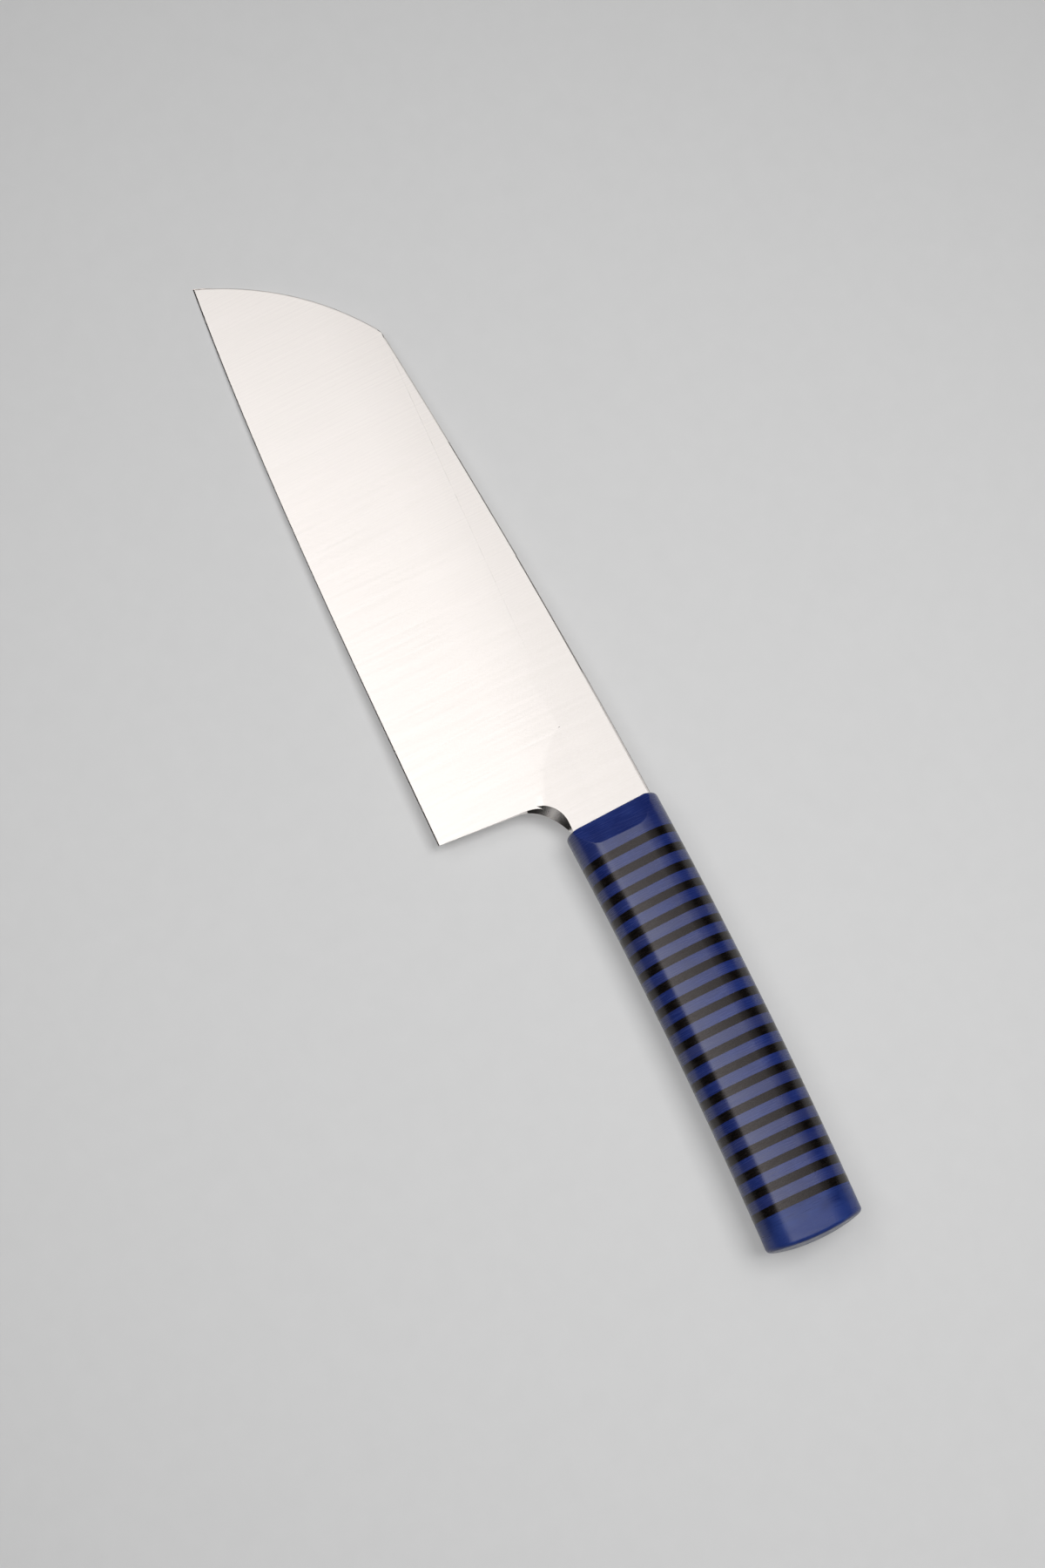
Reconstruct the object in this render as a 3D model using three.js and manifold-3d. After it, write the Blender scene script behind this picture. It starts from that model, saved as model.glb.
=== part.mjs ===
// Chopper knife: a tall steel blade whose hidden tang carries a handle of stacked rings.
// Millimetres, with the knife lying on its side: +X points to the blade's tip, +Y to the cutting edge.
// The handle's front face crosses the X axis at 0, and the group is moved to its resting place at the end.

import * as THREE from 'three';
import { mergeVertices } from 'three/addons/utils/BufferGeometryUtils.js';
import Module from 'manifold-3d';

const wasm = await Module();
wasm.setup();

// Handle: a stadium section that bows gently to the spine side, with ring faces that fan along the bow
const handleWidth = 26.3;
const handleThickness = 17;
const handleFlat = 10.5;
const archRadius = 1500;
const frontLeanDegrees = 2.4;
const rearLeanDegrees = -1;

// Ferrule, rings and butt cap along the handle
const ferruleLength = 9.8;
const facetLength = 7;
const facetDepth = 3.1;
const ferruleNoseRadius = 1.2;
const blackRingCount = 20;
const blackRingThickness = 2.3;
const blueRingThickness = 2.9;
const capLength = 9.4;
const capDome = 1.6;
const capEdgeRadius = 0.8;

// Blade outline, measured from the handle's front face and its middle line
const bladeReach = 182.5;
const tipDrop = 39.15;
const tipRun = 34.85;
const tipBow = 4.25;
const spineCornerEasing = 1.6;
const spineTipRise = 1.95;
const spineRootRise = 11.95;
const spineBow = 1.1;
const heelReach = 12.6;
const heelDrop = 43.7;
const bellyAtHeel = 1.3;
const bellyAtTip = 3;

// Choil: the bevelled notch between the heel and the handle
const choilReach = 10.9;
const choilDrop = 22.4;
const choilRadius = 7.9;
const choilRidgeInset = 0.7;
const choilRidgeDrop = 4.2;
const choilRootBevel = 0.4;
const choilLand = 0.5;
const ricassoDrop = 10.4;

// Blade section: flat stock, ground on both faces from the plunge to the tip, with a fine edge bevel
const bladeStock = 2.4;
const grindHeight = 42;
const grindEdgeThickness = 0.3;
const plungeInset = 0.9;
const plungeDrop = 4.35;
const plungePullReach = 9.6;
const plungeReach = 16.1;
const plungeRise = 8.4;
const edgeBevelWidth = 0.35;
const edgeLand = 0.06;
const spineBevelWidth = 0.65;
const spineBevelDepth = 0.08;
const spineBevelFade = 0.4;

// Tang and the hardware that clamps the stack
const tangWidth = 9;
const tangOffset = -0.5;
const tangClearance = 0.3;
const tangRoot = 2;
const tangNeckLength = 4;
const threadDiameter = 5;
const threadFlatWidth = 4.4;
const threadProud = 1;
const washerDiameter = 12;
const washerThickness = 1.2;
const nutSides = 6;
const nutAcrossFlats = 8;
const nutHeight = 4;
const hardwareClearance = 0.3;
const pocketEndClearance = 0.8;
const seatGap = 0.15;
const shoulderGap = 0.05;

// Steps on round stretches, how far a cutter runs past what it cuts, and how near two corners count as one
const cornerSteps = 14;
const choilSteps = 28;
const outlineSteps = 16;
const easingSteps = 4;
const roundSteps = 32;
const noseSteps = 4;
const domeSteps = 4;
const cutMargin = 5;
const bevelMargin = 0.3;
const cornerTolerance = 1e-5;

const blueRingCount = blackRingCount - 1;
const stackLength = blackRingCount * blackRingThickness + blueRingCount * blueRingThickness;
const stackEnd = ferruleLength + stackLength;
const handleLength = stackEnd + capLength;
const frontLean = THREE.MathUtils.degToRad(frontLeanDegrees);
const rearLean = THREE.MathUtils.degToRad(rearLeanDegrees);

// Finishes
const blueResin = { color: 0x27357c, roughness: 0.45, metalness: 0 };
const blackFibre = { color: 0x1a1817, roughness: 0.6, metalness: 0 };
const brushedSteel = { color: 0xd8d4d0, roughness: 0.35, metalness: 1 };
const platedSteel = { color: 0xa9abae, roughness: 0.4, metalness: 1 };

// Closed triangle mesh as a solid for cutting and joining
function toSolid(geometry) {
  const bare = geometry.clone();
  bare.deleteAttribute('normal');
  bare.deleteAttribute('uv');
  const merged = mergeVertices(bare, cornerTolerance);
  const vertProperties = new Float32Array(merged.attributes.position.array);
  const triVerts = new Uint32Array(merged.index.array);
  return new wasm.Manifold(new wasm.Mesh({ numProp: 3, vertProperties, triVerts }));
}

function fromSolid(solid) {
  const { vertProperties, triVerts } = solid.getMesh();
  return meshGeometry([...vertProperties], [...triVerts]);
}

function meshGeometry(positions, triangles) {
  const geometry = new THREE.BufferGeometry();
  geometry.setAttribute('position', new THREE.Float32BufferAttribute(positions, 3));
  geometry.setIndex(triangles);
  return geometry;
}

// Closed solid through matching loops, with an optional slot from the first loop to the last.
// Loops turn counter-clockwise and slots clockwise, seen from the first loop's outer side.
function loftSolid(loops, slots = []) {
  const positions = [];
  const triangles = [];
  const addLoop = (loop) => {
    const start = positions.length / 3;
    loop.forEach((point) => positions.push(point.x, point.y, point.z));
    return start;
  };
  const addWalls = (run) => {
    const starts = run.map(addLoop);
    const count = run[0].length;
    for (let k = 0; k + 1 < starts.length; k += 1) {
      for (let i = 0; i < count; i += 1) {
        const next = (i + 1) % count;
        const [front, frontNext] = [starts[k] + i, starts[k] + next];
        const [rear, rearNext] = [starts[k + 1] + i, starts[k + 1] + next];
        triangles.push(front, rear, frontNext, frontNext, rear, rearNext);
      }
    }
    return starts;
  };
  const flat = (loop) => loop.map((point) => new THREE.Vector2(point.y, point.z));
  const fan = (loop) => loop.slice(2).map((_, i) => [0, i + 1, i + 2]);
  const addCap = (loop, slot, loopStart, slotStart, reversed) => {
    const faces = slot ? THREE.ShapeUtils.triangulateShape(flat(loop), [flat(slot)]) : fan(loop);
    for (const face of faces) {
      const corners = face.map((i) => (i < loop.length ? loopStart + i : slotStart + i - loop.length));
      triangles.push(...(reversed ? corners.reverse() : corners));
    }
  };
  const outer = addWalls(loops);
  const inner = slots.length > 0 ? addWalls(slots) : [];
  addCap(loops[0], slots[0], outer[0], inner[0], false);
  addCap(loops.at(-1), slots.at(-1), outer.at(-1), inner.at(-1), true);
  return meshGeometry(positions, triangles);
}

// Handle section as a counter-clockwise loop of (across, up) points
function handleSection(inset = 0) {
  const acrossRadius = (handleWidth - handleFlat) / 2 - inset;
  const upRadius = handleThickness / 2 - inset;
  const loop = [];
  for (const side of [1, -1]) {
    for (let step = 0; step <= cornerSteps; step += 1) {
      const angle = Math.PI * (step / cornerSteps - 0.5);
      const across = handleFlat / 2 + acrossRadius * Math.cos(angle);
      loop.push(new THREE.Vector2(side * across, side * upRadius * Math.sin(angle)));
    }
  }
  return loop;
}

// Bow of the handle's middle line and lean of its cross faces, at a distance behind the front face
const archAt = (along) => along * (handleLength - along) / (2 * archRadius);
const leanAt = (along) => THREE.MathUtils.lerp(frontLean, rearLean, along / stackEnd);

// A point of the handle: a distance behind the front face, across from the bowed middle line, and up
function onHandle(along, across, up) {
  return new THREE.Vector3(-along - across * Math.tan(leanAt(along)), across - archAt(along), up);
}

const handleLoop = (along, section) => section.map((point) => onHandle(along, point.x, point.y));

// The tang's slot as a clockwise loop, straight along X whatever the handle's bow
function slotLoop(along) {
  const halfWidth = tangWidth / 2 + tangClearance;
  const halfHeight = bladeStock / 2 + tangClearance;
  const middle = tangOffset + archAt(along);
  const corners = [[-1, -1], [-1, 1], [1, 1], [1, -1]];
  return corners.map(([y, z]) => onHandle(along, middle + y * halfWidth, z * halfHeight));
}

// A plain ring of the stack between two distances behind the front face
function ringGeometry(front, rear) {
  const section = handleSection();
  const loops = [handleLoop(front, section), handleLoop(rear, section)];
  return loftSolid(loops, [slotLoop(front), slotLoop(rear)]);
}

// Material above the planed facet on the ferrule's upper or lower side
function facetCutter(side) {
  const top = handleThickness / 2;
  const drop = facetDepth / facetLength;
  const rearEnd = -facetLength - cutMargin;
  const profile = new THREE.Shape([
    new THREE.Vector2(rearEnd, side * (top + cutMargin * drop)),
    new THREE.Vector2(cutMargin, side * (top - facetDepth - cutMargin * drop)),
    new THREE.Vector2(cutMargin, side * (top + cutMargin * drop)),
  ]);
  const width = handleWidth + 2 * cutMargin;
  const cutter = new THREE.ExtrudeGeometry(profile, { depth: width, bevelEnabled: false });
  return cutter.rotateX(Math.PI / 2).translate(0, width / 2, 0);
}

// Ferrule: a rounded nose at the narrow sides and a planed facet on each broad side
function ferruleGeometry() {
  const loops = [];
  for (let step = 0; step <= noseSteps; step += 1) {
    const angle = Math.PI / 2 * step / noseSteps;
    const section = handleSection(ferruleNoseRadius * (1 - Math.sin(angle)));
    loops.push(handleLoop(ferruleNoseRadius * (1 - Math.cos(angle)), section));
  }
  loops.push(handleLoop(ferruleLength, handleSection()));
  let ferrule = toSolid(loftSolid(loops, [slotLoop(0), slotLoop(ferruleLength)]));
  for (const side of [1, -1]) {
    ferrule = ferrule.subtract(toSolid(facetCutter(side)));
  }
  return fromSolid(ferrule);
}

// Butt cap: a softened rim, a shallow domed end and a blind pocket for the clamping hardware
function capGeometry() {
  const loops = [handleLoop(stackEnd, handleSection())];
  const rim = handleLength - capDome - capEdgeRadius;
  for (let step = 0; step <= noseSteps; step += 1) {
    const angle = Math.PI / 2 * step / noseSteps;
    const section = handleSection(capEdgeRadius * (1 - Math.cos(angle)));
    loops.push(handleLoop(rim + capEdgeRadius * Math.sin(angle), section));
  }
  const face = handleSection(capEdgeRadius);
  for (let step = 1; step < domeSteps; step += 1) {
    const share = 1 - step / domeSteps;
    const section = face.map((point) => point.clone().multiplyScalar(share));
    loops.push(handleLoop(handleLength - capDome * share * share, section));
  }
  const radius = washerDiameter / 2 + hardwareClearance;
  const depth = seatGap + washerThickness + nutHeight + threadProud + pocketEndClearance;
  const pocket = new THREE.CylinderGeometry(radius, radius, depth + cutMargin, roundSteps);
  pocket.rotateZ(Math.PI / 2).translate(-stackEnd + (cutMargin - depth) / 2, tangOffset, 0);
  return fromSolid(toSolid(loftSolid(loops)).subtract(toSolid(pocket)));
}

// Clamping piece of the stack: an outline with the thread's hole, square to the tang
function clampGeometry(outline, along, thickness) {
  const hole = new THREE.Path();
  hole.absarc(0, 0, threadDiameter / 2 + hardwareClearance / 2, 0, 2 * Math.PI);
  outline.holes.push(hole);
  const options = { depth: thickness, bevelEnabled: false, curveSegments: roundSteps / 2 };
  const piece = new THREE.ExtrudeGeometry(outline, options);
  return piece.rotateY(-Math.PI / 2).translate(-along, tangOffset, 0);
}

function washerGeometry() {
  const outline = new THREE.Shape();
  outline.absarc(0, 0, washerDiameter / 2, 0, 2 * Math.PI);
  return clampGeometry(outline, stackEnd + seatGap, washerThickness);
}

function nutGeometry() {
  const cornerRadius = nutAcrossFlats / 2 / Math.cos(Math.PI / nutSides);
  const corners = [];
  for (let corner = 0; corner < nutSides; corner += 1) {
    const angle = 2 * Math.PI * corner / nutSides;
    corners.push(new THREE.Vector2(cornerRadius * Math.cos(angle), cornerRadius * Math.sin(angle)));
  }
  return clampGeometry(new THREE.Shape(corners), stackEnd + seatGap + washerThickness, nutHeight);
}

const tip = new THREE.Vector2(bladeReach, tipDrop);
const heel = new THREE.Vector2(heelReach, heelDrop);
const spineCorner = new THREE.Vector2(bladeReach - tipRun, -spineTipRise);
const choilStart = new THREE.Vector2(choilReach, choilDrop);

// Where the blade's shoulder stands on the ferrule's leaning front face
const onShoulder = (across) => new THREE.Vector2(shoulderGap - across * Math.tan(frontLean), across);

// Direction square to a run, on its left in plan
const leftOf = (run) => new THREE.Vector2(-run.y, run.x).normalize();

// Shallow curve bowed to the left of its run
function bowedCurve(from, to, bow) {
  const left = leftOf(to.clone().sub(from));
  const pull = from.clone().lerp(to, 0.5).addScaledVector(left, 2 * bow);
  return new THREE.QuadraticBezierCurve(from, pull, to);
}

// Cutting edge from heel to tip, fuller towards the tip
function edgeCurve() {
  const run = tip.clone().sub(heel);
  const out = leftOf(run);
  const heelPull = heel.clone().addScaledVector(run, 1 / 3).addScaledVector(out, bellyAtHeel);
  const tipPull = heel.clone().addScaledVector(run, 2 / 3).addScaledVector(out, bellyAtTip);
  return new THREE.CubicBezierCurve(heel, heelPull, tipPull, tip);
}

const tipCurve = () => bowedCurve(tip, spineCorner, tipBow);
const spineCurve = () => bowedCurve(spineCorner, onShoulder(-spineRootRise), spineBow);

// Eased corner where the tip's curve meets the spine
function spineCornerCurve() {
  const tipSide = tipCurve().getPointAt(1 - spineCornerEasing / tipCurve().getLength());
  const spineSide = spineCurve().getPointAt(spineCornerEasing / spineCurve().getLength());
  return new THREE.QuadraticBezierCurve(tipSide, spineCorner, spineSide);
}

// Outer line of the choil's bevel, half way through the stock, from the shoulder to the heel's line
function choilRidge() {
  const pull = new THREE.Vector2(choilReach - choilRidgeInset, ricassoDrop + choilRidgeDrop);
  return new THREE.QuadraticBezierCurve(onShoulder(ricassoDrop + choilRootBevel), pull, choilStart);
}

// The same notch on the blade's faces: straight off the shoulder, then round to the heel's line
function choilFace() {
  const start = onShoulder(ricassoDrop);
  const path = new THREE.Path();
  path.moveTo(start.x, start.y);
  path.lineTo(choilReach - choilRadius, ricassoDrop);
  path.absarc(choilReach - choilRadius, ricassoDrop + choilRadius, choilRadius, -Math.PI / 2, 0);
  path.lineTo(choilStart.x, choilStart.y);
  return path;
}

// Blade outline at the middle of the stock
function bladeOutline() {
  return new THREE.Shape([
    ...choilRidge().getSpacedPoints(choilSteps),
    ...edgeCurve().getPoints(2 * outlineSteps),
    ...tipCurve().getPoints(outlineSteps).slice(1, -1),
    ...spineCornerCurve().getPoints(easingSteps),
    ...spineCurve().getPoints(outlineSteps).slice(1),
  ]);
}

// Flat plate of a plan outline, half above and half below the middle of the stock
function plate(outline, thickness) {
  const options = { depth: thickness, bevelEnabled: false, curveSegments: outlineSteps };
  return new THREE.ExtrudeGeometry(outline, options).translate(0, 0, -thickness / 2);
}

// Plan area that the grind covers: all of the blade ahead of the plunge
function grindArea() {
  const start = new THREE.Vector2(choilReach - plungeInset, ricassoDrop + plungeDrop);
  const pull = new THREE.Vector2(choilReach + plungePullReach, ricassoDrop);
  const end = new THREE.Vector2(choilReach + plungeReach, ricassoDrop - plungeRise);
  const farReach = bladeReach + cutMargin;
  const farRise = -spineRootRise - cutMargin;
  const farDrop = heelDrop + cutMargin;
  const notchMiddle = new THREE.Vector2(choilReach - choilRadius, ricassoDrop + choilRadius);
  return new THREE.Shape([
    ...new THREE.QuadraticBezierCurve(start, pull, end).getPoints(outlineSteps),
    new THREE.Vector2(end.x, farRise),
    new THREE.Vector2(farReach, farRise),
    new THREE.Vector2(farReach, farDrop),
    new THREE.Vector2(notchMiddle.x, farDrop),
    notchMiddle,
  ]);
}

// Material above the ground face on the upper or lower side, along the line from heel to tip
function grindCutter(side) {
  const along = tip.clone().sub(heel).normalize();
  const edgeHeight = grindEdgeThickness / 2;
  const slope = (bladeStock / 2 - edgeHeight) / grindHeight;
  const inner = grindHeight + cutMargin;
  const profile = new THREE.Shape([
    new THREE.Vector2(-cutMargin, side * (edgeHeight - cutMargin * slope)),
    new THREE.Vector2(inner, side * (edgeHeight + inner * slope)),
    new THREE.Vector2(-cutMargin, side * (edgeHeight + inner * slope)),
  ]);
  const length = bladeReach + 2 * cutMargin;
  const wedge = new THREE.ExtrudeGeometry(profile, { depth: length, bevelEnabled: false });
  const inward = new THREE.Vector3(along.y, -along.x, 0);
  const up = new THREE.Vector3(0, 0, 1);
  const toHeel = new THREE.Vector3(-along.x, -along.y, 0);
  const place = new THREE.Matrix4().makeBasis(inward, up, toHeel).setPosition(tip.x, tip.y, 0);
  wedge.translate(0, 0, -cutMargin).applyMatrix4(place);
  return toSolid(wedge).intersect(toSolid(plate(grindArea(), 2 * bladeStock)));
}

// Material above a bevel that runs from a line on the blade's face down to a line near its middle
function bevelCutter(faceLine, faceHeight, ridgeLine, ridgeHeight, away, side) {
  const rise = bevelMargin / (faceHeight - ridgeHeight);
  const topHeight = faceHeight + bevelMargin;
  const loops = ridgeLine.map((ridge, i) => {
    const top = faceLine[i].clone().addScaledVector(faceLine[i].clone().sub(ridge), rise);
    const corners = [
      [ridge, ridgeHeight],
      [top, topHeight],
      [top.clone().add(away), topHeight],
      [ridge.clone().add(away), ridgeHeight],
    ];
    return corners.map(([point, height]) => new THREE.Vector3(point.x, point.y, side * height));
  });
  return toSolid(loftSolid(side > 0 ? loops : loops.reverse()));
}

function choilCutter(side) {
  const faceLine = choilFace().getSpacedPoints(choilSteps);
  const ridgeLine = choilRidge().getSpacedPoints(choilSteps);
  const away = new THREE.Vector2(-choilRadius, choilRadius);
  return bevelCutter(faceLine, bladeStock / 2, ridgeLine, choilLand / 2, away, side);
}

function edgeCutter(side) {
  const curve = edgeCurve();
  const ridgeLine = curve.getPoints(2 * outlineSteps);
  ridgeLine[0].addScaledVector(curve.getTangent(0), -edgeBevelWidth);
  ridgeLine.at(-1).addScaledVector(curve.getTangent(1), edgeBevelWidth);
  const inward = new THREE.Vector2(0, -edgeBevelWidth);
  const faceLine = ridgeLine.map((point) => point.clone().add(inward));
  const away = new THREE.Vector2(0, cutMargin);
  return bevelCutter(faceLine, grindEdgeThickness / 2, ridgeLine, edgeLand / 2, away, side);
}

// The spine's bevel is widest at the handle and fades out half way along
function spineCutter(side) {
  const curve = spineCurve();
  const ridgeLine = curve.getPoints(outlineSteps).slice(outlineSteps / 2);
  ridgeLine.at(-1).addScaledVector(curve.getTangent(1), spineBevelWidth);
  const faceLine = ridgeLine.map((point, i) => {
    const share = i / (ridgeLine.length - 1);
    const width = THREE.MathUtils.lerp(spineBevelFade, spineBevelWidth, share);
    return point.clone().add(new THREE.Vector2(0, width));
  });
  const away = new THREE.Vector2(0, -cutMargin);
  const faceHeight = bladeStock / 2;
  return bevelCutter(faceLine, faceHeight, ridgeLine, faceHeight - spineBevelDepth, away, side);
}

// Tang: a flat bar along the handle with a flat-sided thread at its end
function tangGeometry() {
  const neck = -stackEnd + tangNeckLength;
  const end = -stackEnd - seatGap - washerThickness - nutHeight - threadProud;
  const widths = [
    [tangRoot, tangWidth],
    [neck, tangWidth],
    [neck, threadFlatWidth],
    [end, threadFlatWidth],
  ];
  const oneSide = widths.map(([x, width]) => new THREE.Vector2(x, tangOffset + width / 2));
  const otherSide = widths.map(([x, width]) => new THREE.Vector2(x, tangOffset - width / 2));
  return plate(new THREE.Shape([...oneSide, ...otherSide.reverse()]), bladeStock);
}

function bladeGeometry() {
  let blade = toSolid(plate(bladeOutline(), bladeStock));
  for (const side of [1, -1]) {
    for (const cutter of [grindCutter, choilCutter, edgeCutter, spineCutter]) {
      blade = blade.subtract(cutter(side));
    }
  }
  return fromSolid(blade.add(toSolid(tangGeometry())));
}

// Assembly
const knife = new THREE.Group();

function addPiece(name, geometry, finish) {
  const piece = new THREE.Mesh(geometry, new THREE.MeshStandardMaterial(finish));
  piece.name = name;
  knife.add(piece);
}

addPiece('blade', bladeGeometry(), brushedSteel);
addPiece('front_ferrule', ferruleGeometry(), blueResin);

let ringFront = ferruleLength;
for (let ring = 1; ring <= blackRingCount; ring += 1) {
  const number = String(ring).padStart(2, '0');
  const blackRear = ringFront + blackRingThickness;
  addPiece(`black_ring_${number}`, ringGeometry(ringFront, blackRear), blackFibre);
  ringFront = blackRear;
  if (ring <= blueRingCount) {
    const blueRear = ringFront + blueRingThickness;
    addPiece(`blue_ring_${number}`, ringGeometry(ringFront, blueRear), blueResin);
    ringFront = blueRear;
  }
}

addPiece('butt_cap', capGeometry(), blueResin);
addPiece('stack_washer', washerGeometry(), platedSteel);
addPiece('tang_nut', nutGeometry(), platedSteel);

// The origin is the middle of the underside of the knife's own box
const box = new THREE.Box3().setFromObject(knife);
const middle = box.getCenter(new THREE.Vector3());
knife.position.set(-middle.x, -middle.y, -box.min.z);

export default knife;
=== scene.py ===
"""Looks of a kitchen chopper knife that lies on a pale studio surface.

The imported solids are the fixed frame. The blade is dressed from a copy of its own solid. The handle's
ferrule, rings and cap are cut from one sanded form, as they are on the bench, so that they meet flush.
"""

import logging
import math
from collections.abc import Callable, Iterator
from contextlib import contextmanager
from dataclasses import dataclass, field
from enum import Enum
from typing import Any

import bpy
from mathutils import Matrix, Vector

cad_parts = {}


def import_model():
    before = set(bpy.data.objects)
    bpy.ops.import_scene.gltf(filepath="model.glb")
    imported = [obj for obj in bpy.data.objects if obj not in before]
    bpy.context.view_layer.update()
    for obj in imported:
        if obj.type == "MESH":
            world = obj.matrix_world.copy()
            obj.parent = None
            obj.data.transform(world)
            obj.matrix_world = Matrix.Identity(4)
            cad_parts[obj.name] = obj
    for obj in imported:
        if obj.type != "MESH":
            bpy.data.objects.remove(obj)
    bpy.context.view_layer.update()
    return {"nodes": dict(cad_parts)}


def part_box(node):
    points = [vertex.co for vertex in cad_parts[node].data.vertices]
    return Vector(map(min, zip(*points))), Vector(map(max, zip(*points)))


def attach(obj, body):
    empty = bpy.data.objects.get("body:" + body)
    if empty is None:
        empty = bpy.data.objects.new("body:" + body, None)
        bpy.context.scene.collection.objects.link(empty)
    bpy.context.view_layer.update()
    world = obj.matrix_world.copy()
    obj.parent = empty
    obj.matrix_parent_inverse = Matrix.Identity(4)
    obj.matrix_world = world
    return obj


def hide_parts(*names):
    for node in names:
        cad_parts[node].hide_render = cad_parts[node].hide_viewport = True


LOG = logging.getLogger("chopper_knife")
MM = 0.001
BODY = "root"
# Most of a noise's values lie between these two.
NOISE_RANGE = (0.3, 0.7)
# Edges of the handle's pieces that turn more than this stay crisp.
CRISP_ANGLE = math.radians(30.0)
# Pairs of a place and a share of the full brightness.
Stops = tuple[tuple[float, float], ...]


class Pick(Enum):
    """What edit mode selects, as Blender's three select switches."""

    POINTS = (True, False, False)
    EDGES = (False, True, False)
    FACES = (False, False, True)


def linear(code: str) -> tuple[float, float, float, float]:
    """Turn an sRGB hex colour into linear light.

    Args:
        code: The colour, such as "#27357c".

    Returns:
        Red, green, blue and alpha, each from 0 to 1.
    """
    shares = [int(code[i:i + 2], 16) / 255 for i in (1, 3, 5)]
    red, green, blue = (s / 12.92 if s <= 0.04045 else ((s + 0.055) / 1.055) ** 2.4 for s in shares)
    return red, green, blue, 1.0


def add_node(
    tree: bpy.types.NodeTree, kind: str, links: dict | None = None, **settings: Any,
) -> bpy.types.Node:
    """Add one node with its settings and links.

    Args:
        tree: The tree that takes the node.
        kind: Blender's name of the node's type.
        links: For an input's name or number, a plain value or the output socket that feeds it.
        settings: Properties of the node itself.

    Returns:
        The new node.
    """
    node = tree.nodes.new(kind)
    for name, value in settings.items():
        setattr(node, name, value)
    for key, value in (links or {}).items():
        if isinstance(value, bpy.types.NodeSocket):
            tree.links.new(value, node.inputs[key])
        else:
            node.inputs[key].default_value = value
    return node


def new_surface(name: str) -> tuple[bpy.types.Material, bpy.types.NodeTree, bpy.types.Node]:
    """Start a material with an empty Principled surface.

    Args:
        name: The material's name.

    Returns:
        The material, its node tree and its Principled node.
    """
    material = bpy.data.materials.new(name)
    material.use_nodes = True
    tree = material.node_tree
    tree.nodes.clear()
    surface = add_node(tree, "ShaderNodeBsdfPrincipled")
    add_node(tree, "ShaderNodeOutputMaterial", {"Surface": surface.outputs["BSDF"]})
    return material, tree, surface


def only(piece: bpy.types.Object) -> None:
    """Select one piece alone and make it active."""
    bpy.ops.object.select_all(action="DESELECT")
    piece.select_set(True)
    bpy.context.view_layer.objects.active = piece


@contextmanager
def shaping(
    piece: bpy.types.Object, pick: Pick, test: Callable[[Any], bool] | None = None,
) -> Iterator[None]:
    """Hold a piece in edit mode with a chosen part of it selected.

    Args:
        piece: The mesh piece.
        pick: Whether points, edges or faces are selected.
        test: Says of each point, edge or face whether it is selected. Without it, all are.

    Returns:
        Nothing, while the piece is in edit mode.
    """
    only(piece)
    mesh = piece.data
    groups = {Pick.POINTS: mesh.vertices, Pick.EDGES: mesh.edges, Pick.FACES: mesh.polygons}
    for group in groups.values():
        group.foreach_set("select", [test is None] * len(group))
    if test is not None:
        for item in groups[pick]:
            item.select = test(item)
    bpy.context.tool_settings.mesh_select_mode = pick.value
    bpy.ops.object.mode_set(mode="EDIT")
    try:
        yield
    finally:
        bpy.ops.object.mode_set(mode="OBJECT")


def own_copy(source: bpy.types.Object, name: str) -> bpy.types.Object:
    """Copy a piece with a mesh of its own and no materials.

    Args:
        source: The piece to copy.
        name: The copy's name.

    Returns:
        The copy, at the origin.
    """
    piece = bpy.data.objects.new(name, source.data.copy())
    piece.data.materials.clear()
    bpy.context.scene.collection.objects.link(piece)
    return piece


def apply_modifier(piece: bpy.types.Object, kind: str, **settings: Any) -> None:
    """Add a modifier to a piece and apply it.

    Args:
        piece: The mesh piece.
        kind: Blender's name of the modifier's type.
        settings: The modifier's properties.
    """
    only(piece)
    modifier = piece.modifiers.new(kind.lower(), kind)
    for name, value in settings.items():
        setattr(modifier, name, value)
    bpy.ops.object.modifier_apply(modifier=modifier.name)


def cut_out(piece: bpy.types.Object, cutter: bpy.types.Object) -> None:
    """Take the cutter's volume out of a piece."""
    apply_modifier(piece, "BOOLEAN", operation="DIFFERENCE", solver="EXACT", object=cutter)


def saw(piece: bpy.types.Object, place: Vector, normal: Vector) -> None:
    """Saw off all that lies in front of a plane, and close the cut.

    Args:
        piece: The mesh piece.
        place: A point on the plane.
        normal: The plane's normal, towards the waste.
    """
    with shaping(piece, Pick.FACES):
        bpy.ops.mesh.bisect(plane_co=place, plane_no=normal, use_fill=True, clear_outer=True)


def weigh_normals(piece: bpy.types.Object) -> None:
    """Keep the broad faces of a smoothly shaded piece true."""
    apply_modifier(piece, "WEIGHTED_NORMAL", mode="FACE_AREA", weight=80, keep_sharp=True)


def smooth(piece: bpy.types.Object) -> None:
    """Shade a piece of the handle smooth, with its sharper edges kept crisp."""
    only(piece)
    bpy.ops.object.shade_smooth_by_angle(angle=CRISP_ANGLE)
    weigh_normals(piece)


def dress(
    piece: bpy.types.Object, node: str, slot: str, *materials: bpy.types.Material,
) -> bpy.types.Object:
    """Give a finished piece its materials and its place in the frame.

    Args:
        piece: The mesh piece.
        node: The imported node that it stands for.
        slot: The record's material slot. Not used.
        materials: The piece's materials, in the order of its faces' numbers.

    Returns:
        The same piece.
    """
    for material in materials:
        piece.data.materials.append(material)
    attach(piece, BODY)
    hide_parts(node)
    LOG.info("%s stands for %s with %d faces", piece.name, node, len(piece.data.polygons))
    return piece


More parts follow.
